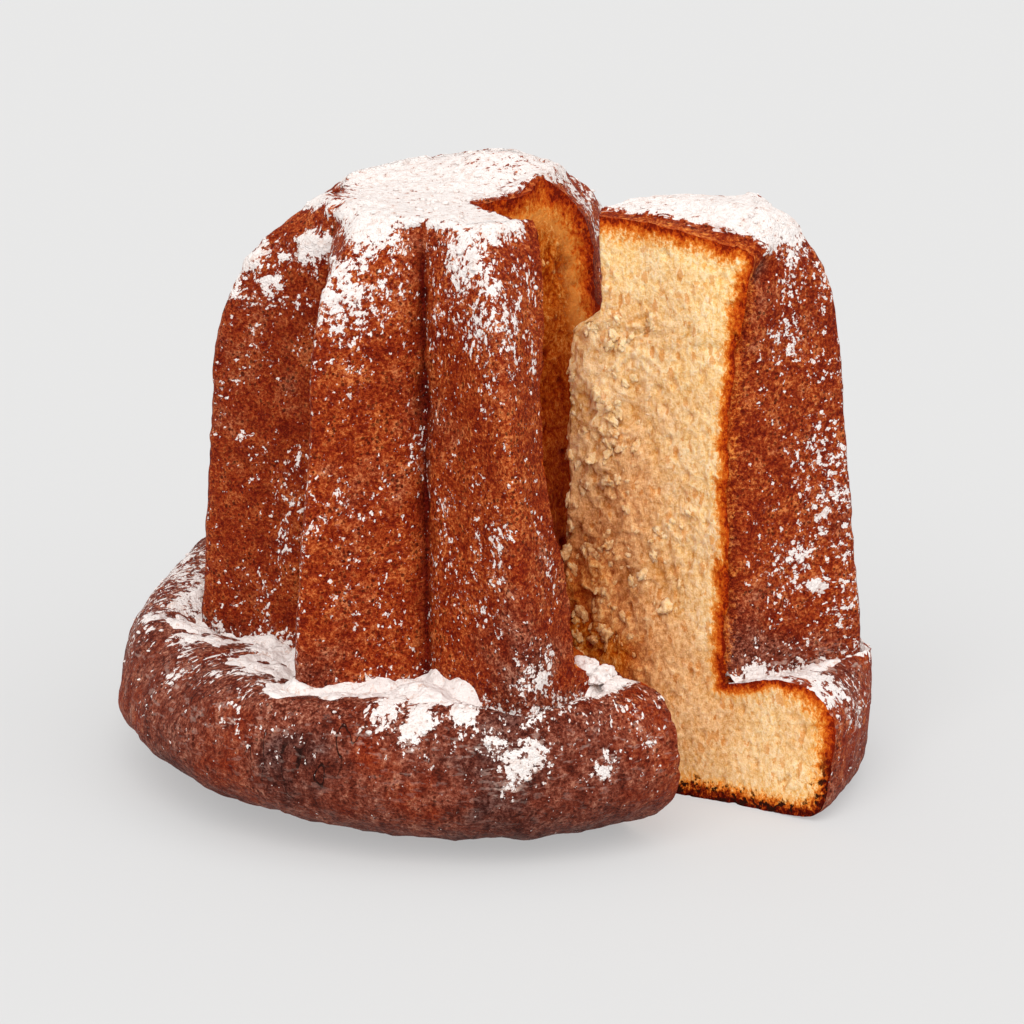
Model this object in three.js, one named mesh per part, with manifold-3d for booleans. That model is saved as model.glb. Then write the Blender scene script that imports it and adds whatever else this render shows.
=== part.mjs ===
// A pandoro: a tall eight-pointed star loaf standing on the broad roll of crust that rose over its tin.
// A wide notch has been cut out of its right side, and one point of the star, a slice, stands turned and
// leaning in that notch.
//
// Units are millimetres, +Z is up and the loaf rests on z = 0 with its axis on the Z axis at the foot.
// An azimuth is in degrees, counted from -Y (the front) towards +X (the right).

import * as THREE from "three";
import { mergeVertices } from "three/addons/utils/BufferGeometryUtils.js";
import Module from "manifold-3d";

const wasm = await Module();
wasm.setup();

// ---- Driving dimensions -------------------------------------------------------------------------------

const POINTS = 8; // points of the star
const HALF_POINT = 180 / POINTS; // degrees from a ridge to the valley beside it
const LEAST_POINT = 1; // least that a ridge stands out over its valley
const RAD = Math.PI / 180;
const even = (value) => Array(POINTS).fill(value);

// Two standing shapes with the same build: the loaf, and the pandoro that the slice was cut from, whose
// star and roll are a little different where the slice was. The star's wall narrows upwards and rolls over
// into the top with a rounded shoulder. Lists hold one value for each point, from the front ridge on.
const LOAF = {
  place: [0, 0],
  ridgeAzimuth: 5.3, // azimuth of the first ridge
  top: 205, // height of the top's rim
  dish: 4, // how far the middle of the top has sunk
  droop: 0, // how far the top bends down along the first cut face
  foot: 49, // height of the groove where the star meets the roll
  ridgeFoot: 110, // radius of a ridge at the foot
  taper: 0.13, // loss of ridge radius for each millimetre of height
  shoulderStart: 146, // height where a ridge starts to roll over
  shoulderRadius: 68,
  valleyFoot: 82, // radius of a valley at the foot
  valleyTop: 52, // radius of a valley at the top's rim
  waist: 0, // how far a valley bends in half way up
  ridgeSoftness: 0.06, // rounding of a ridge, as a share of half a point
  swell: [0, 0, 0, 4, 3, 0, -5, -4], // how far each point stands out beyond the regular star
  shift: [0, 3, 12, 8, 3, 0, 0, 0], // how many degrees it is turned on from its regular place
  sag: [0, 0, 0, 0, 0, 0, 0, 6.5], // how far its ridge bends in below the shoulder
  sagAt: 138, // height where it bends in most
  sagHalf: 40, // how far up and down that reaches
  sink: [0, 0, 5, 0, 0, 0, 5, 0], // how much deeper the valley after each point is
  crease: 3.5, // depth of the narrow crease along each valley
  creaseWidth: 0.12, // half its width, as a share of half a point
  creaseFade: 0.6, // share of its depth that is gone at the top's rim
  topRoll: [2, 8, 20, 0, 0, 0, 0, 0], // how far the valley after each point has rolled in at the top's rim
  rollFrom: 172, // height where that starts
  lean: [-10, 0], // how far the top stands off the axis
  leanFrom: 49, // height where the lean starts
  contact: 62, // radius of the flat part of the base
  reach: [119, 113, 120, 122, 124, 135, 135, 130], // how far the roll reaches below each point
  crest: [54, 56, 52, 54, 57, 63, 56, 54], // height of the roll's top
  belly: [28, 34, 26, 26, 28, 30, 28, 28], // height of its widest line
  underside: [2.1, 2.1, 2.1, 2.1, 2.1, 2.1, 1.8, 1.95], // squareness of the curve from base to belly
  crestShare: 0.5, // where its crest lies between the star and its widest line
  rollWave: 1.2, // height of the slow swells along the roll
  topWave: 1.5, // height of the slow swells of the top
};

const SLICE = {
  ...LOAF,
  place: [5.7, -10.1],
  ridgeAzimuth: 84,
  top: 203,
  dish: 0,
  droop: 8,
  droopWidth: 20, // how far from the cut face the droop reaches
  foot: 40,
  ridgeFoot: 118,
  taper: 0.205,
  shoulderStart: 166,
  shoulderRadius: 42,
  valleyFoot: 79,
  valleyTop: 68,
  waist: 4.5,
  swell: even(0),
  shift: even(0),
  sag: even(0),
  sink: even(0),
  topRoll: even(0),
  lean: [22, 0],
  leanFrom: 0,
  reach: even(122),
  crest: even(47),
  belly: even(26),
  underside: even(7),
  rollWave: 0,
  topWave: 1,
};

// The slice's two cut faces, and the crumb missing from the edge where they would meet.
const SLICE_CUT = {
  from: 60, // azimuths of the faces
  to: 106,
  tipLow: 10.5, // crumb missing low down,
  tipBulge: 3.5, // where the edge stands out,
  tipTorn: 13, // above the tear,
  tipTop: 8, // and at the top
  bulgeFrom: 85,
  bulgeAt: 152,
  tornFrom: 158,
  tornTo: 166,
};

const NOTCH = {
  apex: [1, -6], // where its two faces meet
  tip: 0.6, // how blunt that corner is
  frontRoll: 33, // azimuths of its front face: through the roll,
  frontWall: 17, // through the star's wall,
  frontWaist: 14.5, // where the wall is cut back furthest,
  frontTop: 27, // and at the top
  turnFrom: 53, // heights between which it turns from the roll's azimuth to the wall's
  turnTo: 62,
  waistFrom: 80, // then to the waist's,
  waistAt: 120,
  topFrom: 130, // and from here on to the top's
  back: 134, // azimuth of its back face
};

// A cutter's standing grid, and how far its faces wander from a plane.
const CUTTER = {
  low: -12,
  high: 225,
  levels: 30,
  reach: 190, // beyond the roll
  steps: 9,
  crowding: 1.4, // how much closer the steps lie near the tip
  arcSteps: 4,
  wander: 1.3,
};

// ---- Small helpers ------------------------------------------------------------------------------------

const mix = (a, b, t) => a + (b - a) * t;

function smoothstep(from, to, x) {
  const t = Math.min(1, Math.max(0, (x - from) / (to - from)));
  return t * t * (3 - 2 * t);
}

const bell = (x) => Math.exp(-(x ** 2));

const direction = (azimuth) => [Math.sin(azimuth * RAD), -Math.cos(azimuth * RAD)];

// A smooth round of values, one for each point of the star, read at any azimuth from the first ridge.
function aroundPoints(values, turn) {
  const place = (((turn / (2 * HALF_POINT)) % POINTS) + POINTS) % POINTS;
  const k = Math.floor(place);
  const t = place - k;
  const at = (i) => values[(k + i + POINTS) % POINTS];
  const slopeIn = (at(1) - at(-1)) / 2;
  const slopeOut = (at(2) - at(0)) / 2;
  const cubic = (2 * t ** 3 - 3 * t ** 2 + 1) * at(0) + (t ** 3 - 2 * t ** 2 + t) * slopeIn;
  return cubic + (3 * t ** 2 - 2 * t ** 3) * at(1) + (t ** 3 - t ** 2) * slopeOut;
}

// ---- The whole pandoro, uncut -------------------------------------------------------------------------

function ridgeRadius(spec, z) {
  const rise = Math.max(0, z - spec.shoulderStart);
  const roll = spec.shoulderRadius - Math.sqrt(spec.shoulderRadius ** 2 - rise ** 2);
  return spec.ridgeFoot - spec.taper * (z - spec.foot) - roll;
}

function valleyRadius(spec, z) {
  const t = (z - spec.foot) / (spec.top - spec.foot);
  return mix(spec.valleyFoot, spec.valleyTop, t) - spec.waist * 4 * t * (1 - t);
}

// Radius of the star at an angle from its first ridge: flat facets from each softened ridge to its valley.
function starRadius(spec, turn, z) {
  const period = 2 * HALF_POINT;
  const fromRidge = Math.abs(turn - period * Math.round(turn / period)) / HALF_POINT;
  const soft = spec.ridgeSoftness;
  const share = (Math.hypot(fromRidge, soft) - soft) / (Math.hypot(1, soft) - soft);
  const sag = aroundPoints(spec.sag, turn) * bell((z - spec.sagAt) / spec.sagHalf);
  const ridge = ridgeRadius(spec, z) + aroundPoints(spec.swell, turn) - sag;
  const sink = aroundPoints(spec.sink, turn - HALF_POINT) * (1 - smoothstep(spec.shoulderStart, spec.top, z));
  const rollShare = Math.max(0, z - spec.rollFrom) / (spec.top - spec.rollFrom);
  const roll = aroundPoints(spec.topRoll, turn - HALF_POINT) * rollShare ** 3;
  const valley = Math.min(valleyRadius(spec, z) - sink - roll, ridge - LEAST_POINT);
  const whole = HALF_POINT * RAD;
  const angle = whole * share;
  const span = valley * Math.sin(whole - angle) + ridge * Math.sin(angle);
  const facet = (ridge * valley * Math.sin(whole)) / span;
  const fade = 1 - spec.creaseFade * smoothstep(spec.shoulderStart, spec.top, z);
  return facet - spec.crease * fade * bell((1 - fromRidge) / spec.creaseWidth);
}

// The closed outline from the middle of the base, round the roll, up the star and in to the middle of the
// top, as [radius, height] for one azimuth. Every azimuth has the same number of stations.
function outline(spec, turn) {
  const reach = aroundPoints(spec.reach, turn) + spec.rollWave * Math.sin(5 * turn * RAD + 1);
  const crest = aroundPoints(spec.crest, turn) + spec.rollWave * Math.sin(3 * turn * RAD + 2);
  const belly = aroundPoints(spec.belly, turn);
  const power = 2 / aroundPoints(spec.underside, turn);
  const groove = starRadius(spec, turn, spec.foot);
  const crestRadius = mix(groove, reach, spec.crestShare);
  const stations = [[0, 0], [spec.contact * 0.5, 0]];
  const undersideSteps = 7;
  for (let i = 0; i <= undersideSteps; i++) {
    const a = (i / undersideSteps) * 90 * RAD;
    const up = 1 - Math.abs(Math.cos(a)) ** power;
    stations.push([mix(spec.contact, reach, Math.sin(a) ** power), belly * up]);
  }
  const rollSteps = 5;
  for (let i = 1; i <= rollSteps; i++) {
    const a = (i / rollSteps) * 90 * RAD;
    stations.push([mix(crestRadius, reach, Math.cos(a)), mix(belly, crest, Math.sin(a))]);
  }
  const wallSteps = 6;
  for (let i = 0; i < wallSteps; i++) {
    const z = mix(spec.foot, spec.shoulderStart, i / wallSteps);
    stations.push([starRadius(spec, turn, z), z]);
  }
  const shoulderSteps = 7;
  const shoulderTurn = Math.asin((spec.top - spec.shoulderStart) / spec.shoulderRadius);
  for (let i = 0; i <= shoulderSteps; i++) {
    const z = spec.shoulderStart + spec.shoulderRadius * Math.sin((shoulderTurn * i) / shoulderSteps);
    stations.push([starRadius(spec, turn, z), z]);
  }
  const rim = starRadius(spec, turn, spec.top);
  const topSteps = 5;
  for (let i = 1; i <= topSteps; i++) {
    const share = 1 - i / topSteps;
    const swellOfTop = spec.topWave * share * Math.sin(Math.PI * share * 1.5 + 2 * turn * RAD);
    stations.push([rim * share, spec.top - spec.dish * (1 - share ** 2) + swellOfTop]);
  }
  return stations;
}

// How far the star's axis stands off at a height.
function leanAt(spec, z) {
  const share = Math.max(0, (z - spec.leanFrom) / (spec.top - spec.leanFrom));
  return spec.lean.map((shift) => shift * share);
}

// A solid from rings of points: the first and the last ring are single points, the poles.
function solidFromRings(rings) {
  const vertices = [];
  const triangles = [];
  const count = rings[1].length;
  const starts = rings.map((ring) => {
    const start = vertices.length / 3;
    for (const point of ring) vertices.push(...point);
    return start;
  });
  for (let k = 0; k < count; k++) {
    const next = (k + 1) % count;
    triangles.push(starts[0], starts[1] + next, starts[1] + k);
    for (let r = 1; r < rings.length - 2; r++) {
      const [a, b] = [starts[r] + k, starts[r] + next];
      const [c, d] = [starts[r + 1] + k, starts[r + 1] + next];
      triangles.push(a, b, d, a, d, c);
    }
    const last = starts.length - 1;
    triangles.push(starts[last - 1] + k, starts[last - 1] + next, starts[last]);
  }
  return solidFromMesh(vertices, triangles);
}

function solidFromMesh(vertices, triangles) {
  const geometry = new THREE.BufferGeometry();
  geometry.setAttribute("position", new THREE.Float32BufferAttribute(vertices, 3));
  geometry.setIndex(triangles);
  const merged = mergeVertices(geometry, 1e-4);
  return new wasm.Manifold(
    new wasm.Mesh({
      numProp: 3,
      vertProperties: merged.attributes.position.array,
      triVerts: new Uint32Array(merged.index.array),
    }),
  );
}

// The whole pandoro of a spec, standing in its place with its star leaning.
function wholePandoro(spec, azimuthSteps) {
  const columns = [];
  for (let k = 0; k < azimuthSteps; k++) {
    const turn = (360 * k) / azimuthSteps;
    const [dx, dy] = direction(turn + spec.ridgeAzimuth + aroundPoints(spec.shift, turn));
    columns.push(
      outline(spec, turn).map(([radius, z]) => {
        const [leanX, leanY] = leanAt(spec, z);
        const droop = spec.droop ? droopAt(spec, radius * dx, radius * dy, z) : 0;
        return [spec.place[0] + radius * dx + leanX, spec.place[1] + radius * dy + leanY, z - droop];
      }),
    );
  }
  const rings = columns[0].map((_, station) => columns.map((column) => column[station]));
  const last = rings.length - 1;
  rings[0] = [rings[0][0]];
  rings[last] = [rings[last][0]];
  return solidFromRings(rings);
}

// How far the top crust bends down beside the first cut face, at a point counted from the axis.
function droopAt(spec, x, y, z) {
  const [faceX, faceY] = direction(SLICE_CUT.from);
  const fromFace = Math.abs(x * faceY - y * faceX);
  const near = 1 - smoothstep(0, spec.droopWidth, fromFace);
  return spec.droop * near * smoothstep(spec.shoulderStart, spec.top, z);
}

// ---- Cutters ------------------------------------------------------------------------------------------

// A standing wedge between two azimuths, which may change with height, from a blunt tip outwards. Its faces
// wander a little, as a knife does in soft crumb.
function wedge({ apexAt, tipAt, fromAt, toAt, seed }) {
  const rings = [];
  for (let level = 0; level <= CUTTER.levels; level++) {
    const z = mix(CUTTER.low, CUTTER.high, level / CUTTER.levels);
    const [ax, ay] = apexAt(z);
    const point = (azimuth, i, side) => {
      const [dx, dy] = direction(azimuth);
      const along = mix(tipAt(z), CUTTER.reach, (i / CUTTER.steps) ** CUTTER.crowding);
      const off = i === 0 ? 0 : wander(z, i, side, seed);
      return [ax + dx * along - dy * off, ay + dy * along + dx * off, z];
    };
    const ring = [];
    for (let i = 0; i <= CUTTER.steps; i++) ring.push(point(fromAt(z), i, 0));
    for (let i = 1; i < CUTTER.arcSteps; i++)
      ring.push(point(mix(fromAt(z), toAt(z), i / CUTTER.arcSteps), CUTTER.steps, 0));
    for (let i = CUTTER.steps; i >= 0; i--) ring.push(point(toAt(z), i, 2));
    rings.push(ring);
  }
  const middle = (ring) => [ring.reduce((sum, p) => sum.map((v, i) => v + p[i] / ring.length), [0, 0, 0])];
  return solidFromRings([middle(rings[0]), ...rings, middle(rings[CUTTER.levels])]);
}

// Two slow waves, one along the face and one up it.
function wander(z, step, side, seed) {
  const across = Math.sin(step * 1.7 + side);
  const up = Math.sin(z * 0.045 + step * 0.6 + side + seed);
  return CUTTER.wander * across * up;
}

function notchCutter() {
  const frontAt = (z) => {
    const wall = mix(NOTCH.frontRoll, NOTCH.frontWall, smoothstep(NOTCH.turnFrom, NOTCH.turnTo, z));
    const waist = mix(wall, NOTCH.frontWaist, smoothstep(NOTCH.waistFrom, NOTCH.waistAt, z));
    return mix(waist, NOTCH.frontTop, smoothstep(NOTCH.topFrom, LOAF.top, z));
  };
  return wedge({
    apexAt: (z) => [NOTCH.apex[0] + leanAt(LOAF, z)[0], NOTCH.apex[1]],
    tipAt: () => NOTCH.tip,
    fromAt: frontAt,
    toAt: () => NOTCH.back,
    seed: 1,
  });
}

function sliceCutter() {
  const { from, to, tipLow, tipBulge, tipTorn, tipTop, bulgeFrom, bulgeAt, tornFrom, tornTo } = SLICE_CUT;
  const tipAt = (z) => {
    const bulge = mix(tipLow, tipBulge, smoothstep(bulgeFrom, bulgeAt, z));
    const torn = mix(bulge, tipTorn, smoothstep(tornFrom, tornTo, z));
    return mix(torn, tipTop, smoothstep(tornTo, SLICE.top, z));
  };
  return wedge({
    apexAt: (z) => [SLICE.place[0] + leanAt(SLICE, z)[0], SLICE.place[1]],
    tipAt,
    fromAt: () => from,
    toAt: () => to,
    seed: 4,
  });
}

// ---- The two pieces -----------------------------------------------------------------------------------

const LOAF_STEPS = 96; // columns round the whole star
const SLICE_STEPS = 144;

const loafSolid = () => wholePandoro(LOAF, LOAF_STEPS).subtract(notchCutter());
const sliceSolid = () => wholePandoro(SLICE, SLICE_STEPS).intersect(sliceCutter());

function meshOf(name, solid, material) {
  const { vertProperties, triVerts } = solid.getMesh();
  const geometry = new THREE.BufferGeometry();
  geometry.setAttribute("position", new THREE.BufferAttribute(new Float32Array(vertProperties), 3));
  geometry.setIndex(new THREE.BufferAttribute(new Uint32Array(triVerts), 1));
  geometry.computeVertexNormals();
  const mesh = new THREE.Mesh(geometry, material);
  mesh.name = name;
  return mesh;
}

const crust = new THREE.MeshStandardMaterial({ color: 0x8a4526, roughness: 0.75, metalness: 0 });
const crumb = new THREE.MeshStandardMaterial({ color: 0xe8c987, roughness: 0.9, metalness: 0 });

const pandoro = new THREE.Group();
pandoro.add(meshOf("loaf", loafSolid(), crust));
pandoro.add(meshOf("slice", sliceSolid(), crumb));

export default pandoro;
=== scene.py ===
import math
from types import SimpleNamespace

import bmesh
import bpy
import numpy as np
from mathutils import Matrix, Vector
from mathutils.bvhtree import BVHTree
from mathutils.kdtree import KDTree


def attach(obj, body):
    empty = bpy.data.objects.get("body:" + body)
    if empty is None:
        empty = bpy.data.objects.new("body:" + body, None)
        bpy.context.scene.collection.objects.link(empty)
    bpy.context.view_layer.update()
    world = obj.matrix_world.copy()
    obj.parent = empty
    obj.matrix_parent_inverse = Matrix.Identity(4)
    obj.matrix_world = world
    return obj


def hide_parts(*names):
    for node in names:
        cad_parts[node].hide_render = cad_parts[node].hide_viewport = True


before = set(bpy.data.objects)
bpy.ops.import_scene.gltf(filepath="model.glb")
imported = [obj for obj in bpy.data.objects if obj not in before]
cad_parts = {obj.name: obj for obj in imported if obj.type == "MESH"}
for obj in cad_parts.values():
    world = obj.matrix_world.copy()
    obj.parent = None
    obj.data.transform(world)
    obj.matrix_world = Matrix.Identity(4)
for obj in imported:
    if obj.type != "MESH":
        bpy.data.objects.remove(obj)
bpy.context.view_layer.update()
scene = bpy.context.scene

MM = 0.001  # the shapes below are worked out in millimetres and scaled when a mesh is made
POINTS = 8
HALF_POINT = 180 / POINTS  # degrees from a ridge of the star to the valley beside it


# ---- Dimensions of the two solids, as in the part's source ----

LOAF = SimpleNamespace(
    place=(0, 0), ridge_azimuth=5.3, top=205, dish=4, droop=0, foot=49, ridge_foot=110, taper=0.13,
    shoulder_start=146, shoulder_radius=68, valley_foot=82, valley_top=52, waist=0, softness=0.06,
    swell=(0, 0, 0, 4, 3, 0, -5, -4), shift=(0, 3, 12, 8, 3, 0, 0, 0), sink=(0, 0, 5, 0, 0, 0, 5, 0),
    sag=(0, 0, 0, 0, 0, 0, 0, 6.5), sag_at=138, sag_half=40,
    crease=3.5, crease_width=0.12, top_roll=(2, 8, 20, 0, 0, 0, 0, 0), roll_from=172,
    lean=-10, lean_from=49, contact=62,
    reach=(119, 113, 120, 122, 124, 135, 135, 130), crest=(54, 56, 52, 54, 57, 63, 56, 54),
    belly=(28, 34, 26, 26, 28, 30, 28, 28), underside=(2.1, 2.1, 2.1, 2.1, 2.1, 2.1, 1.8, 1.95),
    crest_share=0.5, roll_wave=1.2, top_wave=1.5, lift=0, dents=(),
    hills=((2, 44, 4.5, 22, 16), (-56, 22, -4, 16, 26), (22, 47, -4, 14, 16)),
)
SLICE = SimpleNamespace(**dict(
    vars(LOAF), place=(5.7, -10.1), ridge_azimuth=84, top=203, dish=0, droop=8, foot=40, ridge_foot=118,
    taper=0.205, shoulder_start=166, shoulder_radius=42, valley_foot=79, valley_top=68, waist=4.5,
    swell=0, shift=0, sag=0, sink=0, top_roll=0, lean=22, lean_from=0, reach=122, crest=47, belly=26,
    underside=7, roll_wave=0, top_wave=1, lift=4, dents=((66, 189, 4.5, 3.0),), hills=(),
))
DROOP_WIDTH = 20  # the slice's top droops, and lifts in the middle, this near its cut face
UNDER_LENGTH, ROLL_LENGTH, FLANK_LENGTH, TOP_LENGTH = 70, 38, 17, 60  # about, along the skin
CUT_LOW, CUT_HIGH, CUT_REACH = -12, 225, 190
CUT_LENGTH, CUT_FINE_LENGTH = 175, 140
WANDER = 1.3  # how far a cut face strays from a plane

BASE, UNDER, ROLL, FLANK, WALL, SHOULDER, TOP = range(7)  # zones of the skin, from the base up


# ---- Helpers ----

def mix(a, b, t):
    return a + (b - a) * t


def smoothstep(low, high, x):
    t = np.clip((x - low) / (high - low), 0, 1)
    return t * t * (3 - 2 * t)


def bump_at(x, centre, width):
    return np.exp(-(((x - centre) / width) ** 2))


def direction(azimuth):
    """The way that an azimuth points: from the front, -Y, towards the right, +X."""
    a = np.radians(azimuth)
    return np.sin(a), -np.cos(a)


def signed(azimuth):
    """The same azimuth between -180 and 180 degrees."""
    return (azimuth + 180) % 360 - 180


def hashed(ix, iy, iz, seed):
    h = (ix * 374761393 + iy * 668265263 + iz * 1440662683 + seed * 974634777) & 0xFFFFFFFF
    h = ((h ^ (h >> 13)) * 1274126177) & 0xFFFFFFFF
    h = ((h ^ (h >> 15)) * 668265263) & 0xFFFFFFFF
    return (h ^ (h >> 16)) / 4294967295.0


def noise(points, size, seed=0, octaves=1):
    """Smooth noise from -1 to 1 with features of that size in millimetres; size may differ by axis."""
    total = 0
    weight = 1
    whole = 0
    scaled = points / np.asarray(size, float)
    for octave in range(octaves):
        cell = np.floor(scaled).astype(np.int64)
        t = scaled - cell
        t = t * t * t * (t * (t * 6 - 15) + 10)
        value = 0
        for corner in range(8):
            i, j, k = corner & 1, (corner >> 1) & 1, corner >> 2
            share = (t[..., 0] if i else 1 - t[..., 0]) * (t[..., 1] if j else 1 - t[..., 1])
            share = share * (t[..., 2] if k else 1 - t[..., 2])
            at = [cell[..., axis] + (i, j, k)[axis] for axis in range(3)]
            value = value + share * hashed(*at, seed + octave)
        total = total + weight * (2 * value - 1)
        whole += weight
        weight *= 0.5
        scaled = scaled * 2.03 + 7.1
    return total / whole


def cells(points, size, seed):
    """Distance to the nearest of scattered points, in cells of that size."""
    scaled = points / np.asarray(size, float)
    cell = np.floor(scaled).astype(np.int64)
    nearest = np.full(points.shape[:-1], 9.0)
    for offset in np.ndindex(3, 3, 3):
        near = [cell[..., axis] + offset[axis] - 1 for axis in range(3)]
        gap = 0
        for axis in range(3):
            gap = gap + (near[axis] + hashed(*near, seed + axis) - scaled[..., axis]) ** 2
        nearest = np.minimum(nearest, gap)
    return np.sqrt(nearest)


# ---- The whole pandoro of a spec ----

def around(values, turn):
    """A smooth round of values, one for each point of the star or the same for all."""
    values = np.broadcast_to(np.asarray(values, float), POINTS)
    place = (turn / (2 * HALF_POINT)) % POINTS
    k = np.floor(place).astype(int)
    t = place - k
    before, here, after, beyond = (values[(k + i) % POINTS] for i in (-1, 0, 1, 2))
    cubic = (2 * t**3 - 3 * t**2 + 1) * here + (t**3 - 2 * t**2 + t) * (after - before) / 2
    return cubic + (3 * t**2 - 2 * t**3) * after + (t**3 - t**2) * (beyond - here) / 2


def star_radius(spec, turn, z):
    """Distance from the axis to the skin of the star at each turn, in degrees from a ridge, and height."""
    rise = np.maximum(0, z - spec.shoulder_start)
    roll = spec.shoulder_radius - np.sqrt(np.maximum(0, spec.shoulder_radius ** 2 - rise**2))
    sag = around(spec.sag, turn) * bump_at(z, spec.sag_at, spec.sag_half)
    ridge = spec.ridge_foot - spec.taper * (z - spec.foot) - roll
    ridge = ridge + around(spec.swell, turn) - sag
    t = (z - spec.foot) / (spec.top - spec.foot)
    valley = mix(spec.valley_foot, spec.valley_top, t) - spec.waist * 4 * t * (1 - t)
    rounded = smoothstep(spec.shoulder_start, spec.top, z)
    sink = around(spec.sink, turn - HALF_POINT) * (1 - rounded)
    roll_share = np.maximum(0, z - spec.roll_from) / (spec.top - spec.roll_from)
    valley = valley - sink - around(spec.top_roll, turn - HALF_POINT) * roll_share**3
    valley = np.minimum(valley, ridge - 1)
    period = 2 * HALF_POINT
    from_ridge = np.abs(turn - period * np.round(turn / period)) / HALF_POINT
    soft = spec.softness
    share = (np.hypot(from_ridge, soft) - soft) / (math.hypot(1, soft) - soft)
    whole = math.radians(HALF_POINT)
    angle = whole * share
    facet = ridge * valley * math.sin(whole) / (valley * np.sin(whole - angle) + ridge * np.sin(angle))
    fade = 1 - 0.6 * rounded
    return facet - spec.crease * fade * np.exp(-(((1 - from_ridge) / spec.crease_width) ** 2))


def outline(spec, turn, pitch):
    """Stations from the middle of the base round the roll and up the star to the middle of the top."""
    radians = np.radians(turn)
    reach = around(spec.reach, turn) + spec.roll_wave * np.sin(5 * radians + 1)
    crest = around(spec.crest, turn) + spec.roll_wave * np.sin(3 * radians + 2)
    belly = around(spec.belly, turn)
    power = 2 / around(spec.underside, turn)
    groove = star_radius(spec, turn, spec.foot)
    crest_radius = mix(groove, reach, spec.crest_share)
    stations = []

    def add(zone, radius, height):
        stations.append((zone, radius + 0 * turn, height + 0 * turn))

    def shares(length):
        count = max(2, round(length / pitch))
        return [i / count for i in range(1, count + 1)]

    add(BASE, 0, 0)
    for t in shares(spec.contact / 3):
        add(BASE, spec.contact * t, 0)
    for t in shares(UNDER_LENGTH):
        a = t * math.pi / 2
        radius = mix(spec.contact, reach, math.sin(a) ** power)
        add(UNDER, radius, belly * (1 - abs(math.cos(a)) ** power))
    for t in shares(ROLL_LENGTH):
        a = t * math.pi / 2
        add(ROLL, mix(crest_radius, reach, math.cos(a)), mix(belly, crest, math.sin(a)))
    for t in shares(FLANK_LENGTH)[:-1]:
        fall = 1 - math.cos(t * math.pi / 2)
        add(FLANK, mix(crest_radius, groove, t), mix(crest, spec.foot, fall))
    wall = spec.shoulder_start - spec.foot
    for t in [0, *shares(wall)[:-1]]:
        z = spec.foot + wall * t
        add(WALL, star_radius(spec, turn, z), z)
    turn_over = math.asin((spec.top - spec.shoulder_start) / spec.shoulder_radius)
    for t in [0, *shares(turn_over * spec.shoulder_radius)]:
        z = spec.shoulder_start + spec.shoulder_radius * math.sin(turn_over * t)
        add(SHOULDER, star_radius(spec, turn, z), z)
    rim = star_radius(spec, turn, spec.top)
    for t in shares(TOP_LENGTH):
        share = 1 - t
        wave = spec.top_wave * share * np.sin(math.pi * share * 1.5 + 2 * radians)
        add(TOP, rim * share, spec.top - spec.dish * (1 - share**2) + wave)
    return tuple(np.array(values) for values in zip(*stations))


def lean_at(spec, z):
    """How far the axis has leaned to the right at a height."""
    return spec.lean * np.maximum(0, (z - spec.lean_from) / (spec.top - spec.lean_from))


def grid_normals(points):
    across = np.roll(points, -1, axis=1) - np.roll(points, 1, axis=1)
    up = np.gradient(points, axis=0)
    normal = np.cross(across, up)
    return normal / np.maximum(1e-9, np.linalg.norm(normal, axis=-1, keepdims=True))


def whole_pandoro(spec, turn, pitch):
    """The skin as a grid of stations by columns, with the zone, azimuth, height and so on of each point."""
    zone, radius, height = outline(spec, turn, pitch)
    azimuth = turn + spec.ridge_azimuth + around(spec.shift, turn)
    dx, dy = direction(azimuth)
    x, y = radius * dx, radius * dy
    drop = 0
    if spec.droop:
        face_x, face_y = direction(SLICE_CUT.start)
        from_face = np.abs(x * face_y - y * face_x)
        near = 1 - smoothstep(0, DROOP_WIDTH, from_face)
        drop = spec.droop * near * smoothstep(spec.shoulder_start, spec.top, height)
    place_x, place_y = spec.place
    points = np.stack([place_x + x + lean_at(spec, height), place_y + y, height - drop], axis=-1)
    zone, azimuth, turn = np.broadcast_arrays(zone[:, None], azimuth, turn)
    return SimpleNamespace(
        points=points, zone=zone, azimuth=azimuth, turn=turn, height=height, radius=radius
    )


# ---- Cutters ----

def slice_tip(z):
    """Where the slice's crumb is torn off, from the line where its cut faces meet."""
    bulge = mix(10.5, 3.5, smoothstep(85, 152, z))
    torn = mix(bulge, 13, smoothstep(158, 166, z))
    return mix(torn, 8, smoothstep(166, SLICE.top, z))


def notch_front(z):
    """Azimuth of the notch's front face."""
    wall = mix(33, 17, smoothstep(53, 62, z))
    return mix(mix(wall, 14.5, smoothstep(80, 120, z)), 27, smoothstep(130, LOAF.top, z))


SLICE_CUT = SimpleNamespace(
    apex=lambda z: (SLICE.place[0] + lean_at(SLICE, z), SLICE.place[1] + 0 * z),
    tip=slice_tip, start=60, end=106, front=lambda z: 60 + 0 * z, seed=4, keeps_inside=True,
    glow=1.0, glow_width=5.5,
)
NOTCH = SimpleNamespace(
    apex=lambda z: (1 + lean_at(LOAF, z), -6 + 0 * z),
    tip=lambda z: 0.6 + 0 * z, end=134, front=notch_front, seed=1, keeps_inside=False,
    glow=0.3, glow_width=3.2,
)


def wander(cut, z, along, tip, side):
    """How far a cut face strays from its plane."""
    step = 9 * np.maximum(0, (along - tip) / (CUT_REACH - tip)) ** (1 / 1.4)
    off = WANDER * np.sin(step * 1.7 + side) * np.sin(z * 0.045 + step * 0.6 + side + cut.seed)
    return off * smoothstep(0, 4, along - tip)


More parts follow.
